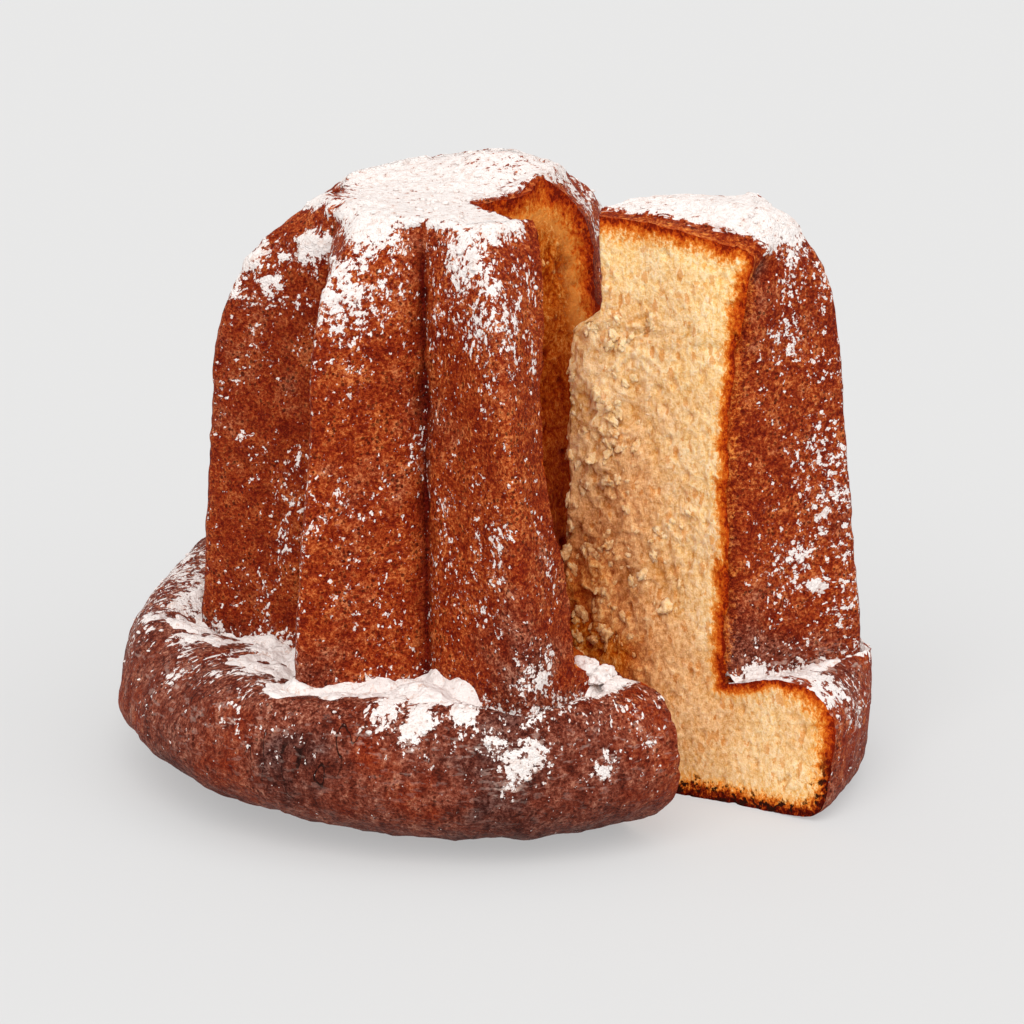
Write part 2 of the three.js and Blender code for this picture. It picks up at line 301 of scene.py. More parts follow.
def wedge(cut, pitch, relief):
    """A standing wedge as rings of points, its faces moved out of the crumb by the relief."""
    z = np.arange(CUT_LOW, CUT_HIGH + pitch, pitch)[:, None]
    ax, ay = cut.apex(z)
    tip = cut.tip(z)
    front = cut.front(z)
    back = cut.end + 0 * z
    beyond = np.append(np.arange(0, CUT_FINE_LENGTH, pitch), CUT_LENGTH)[None]
    columns = []
    normals = []

    def face(azimuth, side, sign, flip):
        dx, dy = direction(azimuth)
        along = tip + (beyond[:, ::-1] if flip else beyond)
        off = wander(cut, z, along, tip, side)
        x, y = ax + dx * along - dy * off, ay + dy * along + dx * off
        columns.append(np.stack([x, y, z + 0 * along], -1))
        normals.append(np.stack([-sign * dy + 0 * along, sign * dx + 0 * along, 0 * along], -1))

    face(front, 0, -1, False)
    far = CUT_LENGTH + tip
    for i in range(1, 4):
        dx, dy = direction(mix(front, back, i / 4))
        columns.append(np.stack([ax + dx * far, ay + dy * far, z], -1))
        normals.append(np.zeros_like(columns[-1]))
    face(back, 2, 1, True)
    first, last = columns[0][:, :1], columns[-1][:, -1:]
    dx, dy = direction((front + back) / 2)
    for share in np.linspace(0, 1, 10)[1:-1]:
        columns.append(mix(last, first, share))
        normals.append(np.stack([-dx, -dy, 0 * z], -1))
    points = np.concatenate(columns, axis=1)
    normal = np.concatenate(normals, axis=1)
    sign = 1 if cut.keeps_inside else -1
    height = relief(points)
    return points + sign * normal * height[..., None], height


def wedge_distances(cut, points):
    """How far points lie past the front face, and short of the back face, into the wedge."""
    z = points[..., 2]
    ax, ay = cut.apex(z)
    x, y = points[..., 0] - ax, points[..., 1] - ay
    front_x, front_y = direction(cut.front(z))
    back_x, back_y = direction(cut.end)
    return x * -front_y + y * front_x, x * back_y - y * back_x


def inside_wedge(cut, points, margin):
    """Whether points lie in the wedge or within the margin of it."""
    past_front, short_of_back = wedge_distances(cut, points)
    return (past_front > -margin) & (short_of_back > -margin)


def distance_outside(cut, points):
    """How far points outside the wedge are from it; points behind its apex are far away."""
    past_front, short_of_back = wedge_distances(cut, points)
    return np.maximum(-past_front, 0) + np.maximum(-short_of_back, 0)


def along_cut(cut, points):
    """How far points are from the line where the two faces of the wedge meet."""
    ax, ay = cut.apex(points[..., 2])
    return np.hypot(points[..., 0] - ax, points[..., 1] - ay)


# ---- Meshes ----

def grid_faces(rows, columns, closed=True):
    r, k = np.meshgrid(np.arange(rows - 1), np.arange(columns if closed else columns - 1), indexing="ij")
    n = (k + 1) % columns
    below, above = r * columns, (r + 1) * columns
    return np.stack([below + k, below + n, above + n, above + k], -1).reshape(-1, 4)


def mesh_object(name, vertices, faces, materials, index=0):
    mesh = bpy.data.meshes.new(name)
    mesh.from_pydata((np.asarray(vertices) * MM).tolist(), [], [list(map(int, f)) for f in faces])
    for material in materials:
        mesh.materials.append(material)
    mesh.polygons.foreach_set("material_index", np.full(len(mesh.polygons), index, np.int32))
    mesh.update()
    made = bpy.data.objects.new(name, mesh)
    scene.collection.objects.link(made)
    return made


def ring_solid(name, rings, low, high, index):
    """A closed solid from rings of points and the two points that close it."""
    rows, count = rings.shape[:2]
    vertices = np.concatenate([rings.reshape(-1, 3), [low, high]])
    faces = grid_faces(rows, count).tolist()
    for k in range(count):
        n = (k + 1) % count
        faces.append((rows * count, n, k))
        faces.append(((rows - 1) * count + k, (rows - 1) * count + n, rows * count + 1))
    return mesh_object(name, vertices, faces, (CRUST, CRUMB), index)


def boolean(body, cutter, operation):
    """Cut the body with the cutter, which is used up."""
    modifier = body.modifiers.new("cut", "BOOLEAN")
    modifier.operation = operation
    modifier.solver = "MANIFOLD"
    modifier.object = cutter
    graph = bpy.context.evaluated_depsgraph_get()
    result = bpy.data.meshes.new_from_object(body.evaluated_get(graph))
    body.modifiers.remove(modifier)
    body.data = result
    bpy.data.objects.remove(cutter)


def read(items, key, kind=float, size=1):
    """The values of all items, each one number or as many as the size, as one array."""
    values = np.empty(len(items) * size, kind)
    items.foreach_get(key, values)
    return values if size == 1 else values.reshape(-1, size)


def positions(mesh):
    return read(mesh.vertices, "co", size=3) / MM


def set_attribute(mesh, name, values):
    attribute = mesh.attributes.new(name, "FLOAT", "POINT")
    attribute.data.foreach_set("value", np.asarray(values, np.float32))


def smooth(mesh):
    mesh.polygons.foreach_set("use_smooth", np.ones(len(mesh.polygons), bool))


def finish_shading(mesh):
    """Smooth everywhere except along the edges between crust and cut face."""
    smooth(mesh)
    index = read(mesh.polygons, "material_index", np.int32)
    owner = np.repeat(index, read(mesh.polygons, "loop_total", np.int32))
    edge = read(mesh.loops, "edge_index", np.int32)
    lowest = np.full(len(mesh.edges), 9)
    highest = np.full(len(mesh.edges), -1)
    np.minimum.at(lowest, edge, owner)
    np.maximum.at(highest, edge, owner)
    mesh.edges.foreach_set("use_edge_sharp", lowest != highest)
    mesh.update()


# ---- Where the sugar, the browning and the painted shade lie ----

def spots(skin, places):
    """Soft round spots on the skin: each is azimuth, height, radius in millimetres and strength."""
    total = np.zeros_like(skin.height)
    for at, z, size, strength in places:
        across = np.radians(signed(skin.azimuth - at)) * np.maximum(skin.radius, 20)
        total = total + strength * np.exp(-(across**2 + (skin.height - z) ** 2) / size**2)
    return total


# Spots of sugar and of browning, how dark the crust bakes, how strong the painted shade in the star's
# valleys is, and how deep in millimetres the crumb's edge is browned below each zone of the skin.
LOAF_LOOK = SimpleNamespace(
    shoulder=(
        (-82, 176, 7, 0.52), (-79, 187, 8, 0.6), (-72, 193, 7, 0.6), (-66, 193, 7, 0.5),
        (-73, 172, 5, 0.5), (-81, 158, 6, 0.24), (-77, 201, 9, -0.9), (-60, 200, 6, -0.4),
        (-37, 197, 13, 0.3), (-34, 187, 12, 0.22), (-77, 181, 9, 0.14), (-44, 190, 8, 0.12),
        (-30, 173, 9, 0.14), (-40, 177, 8, 0.12), (-14, 192, 9, -0.2), (4, 196, 10, 0.32),
        (9, 178, 9, 0.28), (1, 188, 8, 0.24), (11, 165, 8, 0.22), (-6, 196, 6, 0.16),
        (150, 180, 25, 0.3), (-32, 110, 18, -0.12), (3, 60, 6, 0.44), (6, 72, 7, 0.24),
        (8, 63, 4, 0.4), (-25, 64, 13, 0.13), (-128, 182, 22, 0.3), (-170, 184, 20, 0.3),
        (172, 170, 14, 0.2),
    ),
    roll=(
        (3, 38, 6, 0.66), (1, 30, 4, 0.3), (-1, 46, 5, 0.4), (7, 44, 5, 0.4), (17, 35, 4.5, 0.66),
        (26, 40, 4, 0.3), (22, 50, 6, 0.1), (-25, 28, 14, -0.14), (-13, 52, 5, 0.7),
        (-20, 53, 5, 0.5), (-6, 54, 4, 0.5), (-15, 47, 4.5, 0.35), (-62, 52, 8, 0.2),
        (-46, 53, 7, 0.2), (-30, 20, 3, 0.3), (-104, 52, 30, 0.34), (-84, 57, 16, 0.1),
        (-150, 50, 14, 0.4), (160, 46, 14, 0.45), (176, 36, 9, 0.4), (-120, 30, 12, 0.2),
    ),
    burnt=(
        (-33.7, 32, 11, 1.15), (-28, 37, 8, 0.6), (2, 30, 20, 0.5), (18, 22, 16, 0.3),
        (-95, 40, 14, 0.2), (-60, 14, 14, 0.3), (4, 92, 12, 0.15), (5, 66, 13, 0.45),
        (-37, 62, 9, 0.3), (120, 30, 18, 0.4), (-150, 34, 18, 0.4),
    ),
    cracked=(
        (-33.7, 31, 12, 1.1), (-28, 36, 9, 1.0), (-24, 48, 7, 0.9), (-39, 40, 8, 0.8),
        (100, 34, 20, 0.8), (-160, 32, 20, 0.8),
    ),
    valleys=1.0, roll_brown=0.52, wall_brown=0.1, band=(8, 8, 8, 5, 16, 14, 13),
)
SLICE_LOOK = SimpleNamespace(
    wall=(
        (80, 102, 9, 0.28), (84, 118, 7, 0.28), (77, 88, 8, 0.22), (78, 72.5, 2.4, 0.9),
        (82, 186, 13, 0.3), (74, 160, 12, 0.12), (70, 30, 8, 0.3), (66, 44, 7, 0.4),
        (98, 60, 16, 0.2), (65, 190, 5, -1.4),
    ),
    # The first burnt spot darkens the hollow at the top beside the cut: painted shade, not burning.
    burnt=((65, 190, 5, 0.6), (64, 60, 14, 0.3), (72, 50, 12, 0.2)),
    cracked=(),
    valleys=0.25, roll_brown=0.25, wall_brown=0.12, band=(8.5, 8, 8, 5, 4, 5.5, 8),
)


def loaf_sugar(skin):
    """Density of the sugar from 0 to 1 over the loaf's skin."""
    points, zone, z = skin.points, skin.zone, skin.height
    azimuth = signed(skin.azimuth)
    patches = noise(points, 11, 31, 2)
    drift = noise(points, (9, 9, 22), 33, 3)
    roll = mix(0.16, 0.36, smoothstep(18, 54, z))
    roll = roll + 0.3 * smoothstep(0.25, 0.6, patches) * smoothstep(34, 52, z)
    density = np.where(np.isin(zone, (UNDER, ROLL)), roll + spots(skin, LOAF_LOOK.roll), 0.0)
    uncovered = np.maximum(smoothstep(-78, -96, azimuth), smoothstep(0, 20, azimuth))
    density = np.where(zone == FLANK, 0.46 + 0.3 * patches + 0.32 * uncovered, density)
    wall = 0.36 + 0.34 * drift + 0.35 * (1 - smoothstep(49, 60, z)) - 0.08 * bump_at(azimuth, -70, 18)
    wall = wall + 0.26 * bump_at(azimuth, -39.9, 0.8) * smoothstep(52, 60, z) * smoothstep(140, 80, z)
    blobs = np.clip(0.75 + 1.3 * noise(points, 6.5, 37, 3), 0, 1.4)
    shoulder = 0.06 * smoothstep(140, 190, z) + spots(skin, LOAF_LOOK.shoulder) * blobs
    density = np.where(np.isin(zone, (WALL, SHOULDER)), wall + shoulder, density)
    rim = smoothstep(200, 204.5, z + 2.5 * patches)
    density = np.where(zone == SHOULDER, mix(density, 0.9 + 0.25 * patches, rim), density)
    thin = smoothstep(-25, 30, points[..., 0]) * smoothstep(-10, 30, points[..., 1])
    thin = thin * (0.14 + 0.5 * np.maximum(0, noise(points, (5, 12, 5), 35, 3)))
    streaks = 0.5 + 0.5 * noise(points, (12, 4, 4), 38, 3)
    thin = thin + smoothstep(44, 60, -points[..., 0] + 5 * patches) * streaks
    density = np.where(zone == TOP, 1 + 0.15 * patches - thin, density)
    from_cut = distance_outside(NOTCH, points) + 1.2 * noise(points, 3, 36)
    return np.clip(density * mix(1, smoothstep(0.4, 2.0, from_cut), smoothstep(180, 195, z)), 0, 1)


def slice_sugar(skin):
    """Density of the sugar from 0 to 1 over the slice's skin."""
    points, zone, z = skin.points, skin.zone, skin.height
    patches = noise(points, 11, 41, 2)
    drift = noise(points, (8, 8, 16), 43, 3)
    roll = mix(0.25, 0.44, smoothstep(20, 46, z))
    roll = roll + 0.4 * smoothstep(0.3, 0.55, patches) * smoothstep(24, 44, z)
    density = np.where(np.isin(zone, (UNDER, ROLL)), roll, 0.0)
    density = np.where(zone == FLANK, 0.78 + 0.3 * patches, density)
    wall = 0.37 + 0.3 * drift + 0.3 * (1 - smoothstep(41, 52, z))
    density = np.where(np.isin(zone, (WALL, SHOULDER)), wall, density)
    density = density + spots(skin, SLICE_LOOK.wall) * (zone > UNDER)
    rim = smoothstep(187, 199, z + 5 * patches)
    density = np.where(zone == SHOULDER, mix(density, 0.92 + 0.25 * patches, rim), density)
    density = np.where(zone == TOP, 1 + 0.12 * patches, density)
    from_cut = wedge_distances(SLICE_CUT, points)[0]
    edge = smoothstep(2.5, 9, from_cut + 2.6 * noise(points, 5, 46, 2))
    return np.clip(density * mix(1, edge, smoothstep(150, 185, z)), 0, 1)


def browning(skin, look):
    """How dark and purple the crust has baked, from 0 to 1."""
    points, zone, z = skin.points, skin.zone, skin.height
    blotch = noise(points, 24, 51, 3)
    roll = look.roll_brown + 0.35 * blotch + 0.3 * (1 - smoothstep(6, 26, z))
    wall = look.wall_brown + 0.35 * blotch + 0.25 * (1 - smoothstep(50, 62, z))
    return np.clip(np.where(zone <= FLANK, roll, wall) + spots(skin, look.burnt), 0, 1)


def crease_shade(skin, strength):
    """Painted shade, from 0 to the strength: how deep in a valley of the star a point lies, and on the side
    that faces about -72 degrees.
    """
    period = 2 * HALF_POINT
    turn = skin.turn
    from_valley = 1 - np.abs(turn - period * np.round(turn / period)) / HALF_POINT
    inside = np.isin(skin.zone, (WALL, SHOULDER)) * smoothstep(207, 190, skin.height)
    narrow = np.exp(-((from_valley / 0.09) ** 2))
    wide = np.exp(-((from_valley / 0.3) ** 2))
    shaded = 0.5 * bump_at(signed(skin.azimuth), -72, 22)
    return strength * inside * np.maximum(0.75 * narrow + 0.25 * wide, shaded)


def glow_at(skin, cut):
    """The lighter line of crust along the edges of the cut, from 0 to 1."""
    points = skin.points
    gap = wedge_distances(cut, points)[0] if cut.keeps_inside else distance_outside(cut, points)
    return cut.glow * bump_at(gap, 0, cut.glow_width) * np.isin(skin.zone, (WALL, SHOULDER, TOP))


def crack_mask(skin, places):
    return np.clip(spots(skin, places), 0, 1) * np.isin(skin.zone, (UNDER, ROLL))


def skin_relief(spec, skin, sugar):
    """Height of the skin over its plain form, in millimetres."""
    points, zone, z = skin.points, skin.zone, skin.height
    dx, dy = direction(skin.azimuth)
    wrapped = np.stack([dx * 110, dy * 110, points[..., 2]], -1)
    folds = noise(wrapped, (9, 9, 40), 61, 2) + 0.5 * np.abs(noise(wrapped, (5, 5, 12), 68, 3))
    relief = 0.6 * noise(points, 21, 62) + 0.45 * noise(points, 7, 63, 2) + 0.28 * noise(points, 3, 64)
    on_roll = np.isin(zone, (UNDER, ROLL, FLANK))
    relief = relief + np.where(on_roll, 0.9 * folds + 0.5 * noise(points, 12, 65), 0)
    thick = smoothstep(0.62, 0.95, sugar)
    lumps = 0.9 + 0.7 * noise(points, 7, 66, 3) + 1.3 * np.maximum(0, noise(points, 16, 67, 2))
    heavy = np.isin(zone, (TOP, SHOULDER))
    relief = relief + np.where(heavy, thick * lumps, 0.4 * thick)
    for x, y, rise, half_x, half_y in spec.hills:
        off = ((points[..., 0] - x) / half_x) ** 2 + ((points[..., 1] - y) / half_y) ** 2
        relief = relief + rise * np.exp(-off) * smoothstep(180, 200, z)
    valley = crease_shade(skin, 1.0)
    relief = relief + valley * (1.6 * noise(points, (5, 5, 8), 69, 2) + 0.6)
    relief = relief - spots(skin, spec.dents)
    if spec.lift:
        near = smoothstep(DROOP_WIDTH, 0, wedge_distances(SLICE_CUT, points)[0])
        relief = relief + spec.lift * near * smoothstep(60, 20, skin.radius) * (zone == TOP)
    return np.where(zone == BASE, 0, relief) * smoothstep(0, 3, points[..., 2])


def crumb_relief(torn):
    """Relief of a cut face: pores, fibres and torn tufts. torn(points) says where the face is rough."""

    def relief(points):
        rough = torn(points)
        pores = -0.6 * smoothstep(0.5, 0.1, cells(points, (2.4, 2.4, 4.4), 71))
        holes = -1.1 * smoothstep(0.26, 0.1, cells(points, (7, 7, 10), 72))
        fibres = 0.2 * noise(points, (1.6, 1.6, 4), 73, 2) + 0.35 * noise(points, 13, 74, 2)
        curled = points + 3.5 * np.stack([noise(points, 7, seed, 2) for seed in (85, 86, 87)], -1)
        flakes = np.maximum(0, 1 - 3.2 * np.abs(noise(curled, (8, 8, 12), 76, 2)))
        shreds = np.maximum(0, 1 - 3.0 * np.abs(noise(curled, (3.6, 3.6, 5), 88, 2)))
        tufts = 2.8 * noise(points, (9, 9, 12), 75, 3) + 1.1 * flakes + 1.0 * shreds - 0.8
        return pores + holes + fibres + rough * tufts

    return relief


def slice_torn(points):
    """How rough the slice's cut face is, from 0 to 1: most on the left, where it was torn off."""
    z, along = points[..., 2], along_cut(SLICE_CUT, points)
    rough = 0.06 + 0.9 * smoothstep(75, 12, along) * smoothstep(182, 150, z)
    rough = rough + 0.25 * bump_at(z, 78, 32) * smoothstep(110, 70, along)
    return np.clip(rough * (0.75 + 0.5 * noise(points, 18, 77)), 0, 1)


def notch_torn(points):
    return np.clip(0.45 + 0.4 * noise(points, 22, 78), 0, 1)


# ---- Materials ----

def srgb(red, green, blue):
    def linear(value):
        value /= 255
        return value / 12.92 if value <= 0.04045 else ((value + 0.055) / 1.055) ** 2.4

    return (linear(red), linear(green), linear(blue), 1)


class Nodes:
    """Short names for the nodes of one material."""

    def __init__(self, name):
        self.material = bpy.data.materials.new(name)
        self.material.use_nodes = True
        self.tree = self.material.node_tree
        self.shader = self.tree.nodes["Principled BSDF"]
        self.coordinates = self.make("TexCoord").outputs["Object"]

    def put(self, socket, value):
        if isinstance(value, bpy.types.NodeSocket):
            self.tree.links.new(value, socket)
        else:
            socket.default_value = value

    def make(self, kind, **inputs):
        """A new node with those inputs; an underscore in a name stands for a space."""
        node = self.tree.nodes.new("ShaderNode" + kind)
        for name, value in inputs.items():
            self.put(node.inputs[name.replace("_", " ")], value)
        return node

    def calculate(self, kind, operation, values):
        node = self.make(kind)
        node.operation = operation
        for socket, value in zip(node.inputs, values):
            self.put(socket, value)
        return node.outputs[0]

    def math(self, operation, *values):
        return self.calculate("Math", operation, values)

    def vector_math(self, operation, *values):
        return self.calculate("VectorMath", operation, values)

    def add(self, a, b):
        return self.math("ADD", a, b)

    def times(self, a, b):
        return self.math("MULTIPLY", a, b)

    def swing(self, value, strength):
        """How far a value from 0 to 1 lies above its middle, times the strength."""
        return self.times(self.math("SUBTRACT", value, 0.5), strength)

    def stretched(self, scale):
        return self.make("Mapping", Vector=self.coordinates, Scale=scale).outputs["Vector"]

    def radial(self, rise, around_=0.11):
        """Coordinates that run round the axis: a small rise draws a pattern out up and down the skin, and
        a small around_ draws it out round the skin."""
        flat = self.vector_math("MULTIPLY", self.coordinates, (1, 1, 0))
        up = self.vector_math("MULTIPLY", self.coordinates, (0, 0, rise))
        flat = self.vector_math("NORMALIZE", flat)
        return self.vector_math("MULTIPLY_ADD", flat, (around_, around_, around_), up)

    def noise(self, size, detail, roughness, vector=None):
        """Noise with features of that size in millimetres."""
        vector = vector or self.coordinates
        node = self.make("TexNoise", Vector=vector, Scale=1000 / size, Detail=detail, Roughness=roughness)
        return node.outputs["Fac"]

    def flecks(self, size, reach, vector, ragged=0.0):
        """One within reach of scattered points, which differs from point to point, and nought beyond."""
        scattered = self.make("TexVoronoi", Vector=vector, Scale=1000 / size).outputs
        chance = self.make("SeparateColor", Color=scattered["Color"]).outputs[0]
        own = self.times(reach, self.step(chance, 0, 1, 0.25, 1.0))
        beyond = self.math("SUBTRACT", scattered["Distance"], own)
        return self.step(self.add(beyond, ragged), 0.05, -0.03)

    def height_above(self):
        return self.make("SeparateXYZ", Vector=self.coordinates).outputs["Z"]

    def attribute(self, name):
        node = self.make("Attribute")
        node.attribute_name = name
        return node.outputs["Fac"]

    def step(self, value, low, high, out_low=0.0, out_high=1.0):
        node = self.make(
            "MapRange", Value=value, From_Min=low, From_Max=high, To_Min=out_low, To_Max=out_high
        )
        node.interpolation_type = "SMOOTHSTEP"
        return node.outputs["Result"]

    def ramp(self, value, stops):
        """A colour for each value; each stop is a value, red, green and blue."""
        node = self.make("ValToRGB", Fac=value)
        elements = node.color_ramp.elements
        while len(elements) < len(stops):
            elements.new(0.5)
        for element, (place, *colour) in zip(elements, stops):
            element.position = place
            element.color = srgb(*colour)
        return node.outputs["Color"]

    def blend(self, share, a, b, kind="MIX"):
        node = self.make("Mix")
        node.data_type = "RGBA"
        node.blend_type = kind
        self.put(node.inputs[0], share)
        self.put(node.inputs[6], a)
        self.put(node.inputs[7], b)
        return node.outputs[2]

    def dress(self, colour, roughness, specular, height=None, millimetres=0.0):
        """Set the shader, with a bump of that height where one is given, and return the material."""
        self.put(self.shader.inputs["Base Color"], colour)
        self.put(self.shader.inputs["Roughness"], roughness)
        self.shader.inputs["Specular IOR Level"].default_value = specular
        if height is not None:
            node = self.make("Bump", Distance=millimetres * MM, Height=height)
            self.put(self.shader.inputs["Normal"], node.outputs["Normal"])
        return self.material


SUGAR_WHITE = (243, 234, 230)
SUGAR_THIN = (220, 190, 176)


def crust_material():
    n = Nodes("crust")
    sugar, brown = n.attribute("sugar"), n.attribute("browning")
    on_roll = n.step(n.height_above(), 0.054, 0.044)
    fine = n.noise(1.0, 2, 0.75)
    fibre = n.noise(2.1, 3, 0.75)
    patch = n.noise(9, 2, 0.6)
    wrinkles = n.noise(3.2, 2, 0.65, n.radial(0.5))
    tone = n.add(n.times(fine, 0.5), n.times(fibre, 0.5))
    tone = n.add(tone, n.swing(wrinkles, n.times(on_roll, 0.4)))
    tone = n.add(tone, n.swing(patch, 0.3))
    tone = n.math("MULTIPLY_ADD", n.math("SUBTRACT", tone, 0.5), n.step(on_roll, 0, 1, 1, 0.65), 0.5)
    bright = n.ramp(tone, [
        (0.38, 98, 16, 2), (0.45, 128, 36, 8), (0.5, 147, 51, 15), (0.55, 168, 72, 28),
        (0.64, 214, 122, 66),
    ])
    dark = n.ramp(tone, [
        (0.38, 62, 20, 11), (0.45, 92, 34, 20), (0.5, 116, 52, 36), (0.55, 140, 74, 55),
        (0.64, 186, 126, 102),
    ])
    burnt = n.ramp(tone, [(0.4, 34, 13, 10), (0.5, 72, 36, 30), (0.62, 122, 84, 76)])
    share = n.add(brown, n.swing(patch, 0.8))
    colour = n.blend(n.step(share, 0.1, 0.7), bright, dark)
    colour = n.blend(n.step(share, 0.72, 1.2), colour, burnt)
    pores = n.times(n.flecks(1.6, 0.4, n.coordinates), n.step(patch, 0.36, 0.6))
    colour = n.blend(n.times(pores, 0.7), colour, srgb(52, 10, 2))
    # Painted shade: darker in the valleys of the star and on the side facing about -72 degrees.
    crease = n.add(n.attribute("crease"), n.swing(fibre, 1.5))
    colour = n.blend(n.step(crease, 0.25, 1.1), colour, srgb(150, 72, 48), "MULTIPLY")
    glow = n.add(n.attribute("glow"), n.swing(fibre, 1.5))
    golden = n.ramp(tone, [(0.4, 140, 38, 4), (0.5, 184, 74, 16), (0.62, 232, 142, 66)])
    colour = n.blend(n.step(glow, 0.35, 0.9), colour, golden)
    lines = n.math("ABSOLUTE", n.math("SUBTRACT", n.noise(6.5, 1, 0.5, n.radial(0.35)), 0.5))
    crack = n.times(n.step(lines, 0.016, 0.007), n.step(fibre, 0.38, 0.46))
    crack = n.times(crack, n.step(n.attribute("cracked"), 0.5, 0.8))
    colour = n.blend(n.times(crack, 0.9), colour, srgb(26, 7, 4))

    sugar = n.math("SUBTRACT", sugar, n.attribute("glow"))
    gathered = n.times(sugar, n.step(n.noise(6, 2, 0.6), 0.4, 0.62, 0.4, 1.2))
    grains = n.math("MULTIPLY_ADD", gathered, 0.36, n.noise(1.6, 2, 0.65, n.radial(0.8)))
    flecks = n.step(grains, 0.745, 0.81)
    powder = n.noise(2.4, 3, 0.7)
    over = n.math("SUBTRACT", powder, n.math("MULTIPLY_ADD", sugar, -0.605, 0.93))
    sheet = n.step(over, 0.0, 0.04)
    streaks = n.step(n.noise(1.5, 2, 0.62, n.radial(0.8, 0.035)), 0.55, 0.68)
    streaks = n.times(streaks, n.times(on_roll, n.step(sugar, 0.15, 0.6, 0.08, 0.6)))
    dust = n.times(n.step(over, -0.09, 0.02), n.step(fine, 0.44, 0.6, 0.03, 0.28))
    white = n.math("MAXIMUM", flecks, sheet)
    thin = n.math("MAXIMUM", n.math("MAXIMUM", dust, streaks), n.times(white, 0.5))
    colour = n.blend(thin, colour, srgb(*SUGAR_THIN))
    colour = n.blend(white, colour, n.ramp(powder, [(0.34, 226, 206, 197), (0.52, *SUGAR_WHITE)]))
    return n.dress(colour, n.step(white, 0, 1, 0.55, 0.95), 0.06, n.add(fine, n.times(fibre, 1.2)), 1.1)


def crumb_material():
    n = Nodes("crumb")
    rim, deep, relief = n.attribute("rim"), n.attribute("deep"), n.attribute("height")
    fine = n.noise(1.3, 3, 0.75, n.stretched((1, 1, 0.75)))
    lumps = n.noise(8, 2, 0.6)
    pits = n.flecks(2.8, 0.44, n.stretched((1, 1, 0.5)), n.swing(fine, 0.8))
    pits = n.times(pits, n.step(lumps, 0.38, 0.6))
    tone = n.add(n.math("MULTIPLY_ADD", fine, 0.6, 0.1), n.times(lumps, 0.2))
    # Painted light and shade: the crumb is lighter where the cut face stands out and darker in its hollows.
    tone = n.add(tone, n.swing(relief, 0.3))
    cream = n.ramp(tone, [
        (0.36, 232, 168, 84), (0.44, 247, 202, 132), (0.5, 253, 219, 160), (0.56, 255, 228, 180),
        (0.64, 255, 236, 200),
    ])
    golden = n.ramp(tone, [
        (0.36, 132, 36, 0), (0.44, 168, 68, 3), (0.5, 196, 100, 18), (0.56, 220, 138, 54),
        (0.64, 242, 184, 110),
    ])
    # Painted shade in the pores of the crumb: darker pits.
    cream = n.blend(n.times(pits, 0.65), cream, srgb(222, 144, 58))
    # Painted shade: darker, more golden crumb deep in the notch and low on the slice's left.
    cream = n.blend(deep, cream, golden)
    edge = n.add(rim, n.swing(fine, 1.6))
    edge = n.add(edge, n.swing(lumps, 1.0))
    baked = n.ramp(edge, [
        (0.0, 116, 26, 5), (0.1, 160, 48, 8), (0.32, 198, 84, 16), (0.56, 226, 130, 42),
        (0.85, 244, 180, 94),
    ])
    colour = n.blend(n.step(edge, 0.55, 1.15), baked, cream)
    # Painted shade: the crumb deepest in the notch is darkened further.
    colour = n.blend(n.step(deep, 0.8, 1.6), colour, srgb(205, 150, 108), "MULTIPLY")
    low = n.step(n.height_above(), 0.03, 0.012)
    colour = n.blend(n.times(low, n.step(edge, 0.6, 0.1)), colour, srgb(140, 96, 74), "MULTIPLY")
    charred = n.times(n.step(n.noise(2.6, 2, 0.6), 0.52, 0.59), low)
    colour = n.blend(n.times(charred, n.step(edge, 0.8, 0.5)), colour, srgb(42, 14, 6))
    n.shader.inputs["Subsurface Weight"].default_value = 0.15
    n.shader.inputs["Subsurface Radius"].default_value = (1.0, 0.6, 0.25)
    n.shader.inputs["Subsurface Scale"].default_value = 3 * MM
    return n.dress(colour, 0.85, 0.05, fine, 0.9)


def sugar_material():
    n = Nodes("sugar")
    clumps = n.noise(3.2, 4, 0.75)
    return n.dress(n.ramp(clumps, [(0.34, *SUGAR_THIN), (0.44, *SUGAR_WHITE)]), 0.95, 0.05, clumps, 2.2)


CRUST, CRUMB, SUGAR = crust_material(), crumb_material(), sugar_material()


# ---- Loaf and slice ----

FAR_FROM_RIM = 1.6  # depth in the crumb, as a share of the browned band, beyond which all is alike


def nearest_index(grid, placed):
    """For each placed point, the index of the nearest point of the grid."""
    tree = KDTree(len(grid))
    for i, p in enumerate(grid):
        tree.insert(p, i)
    tree.balance()
    return np.array([tree.find(p)[1] for p in placed])


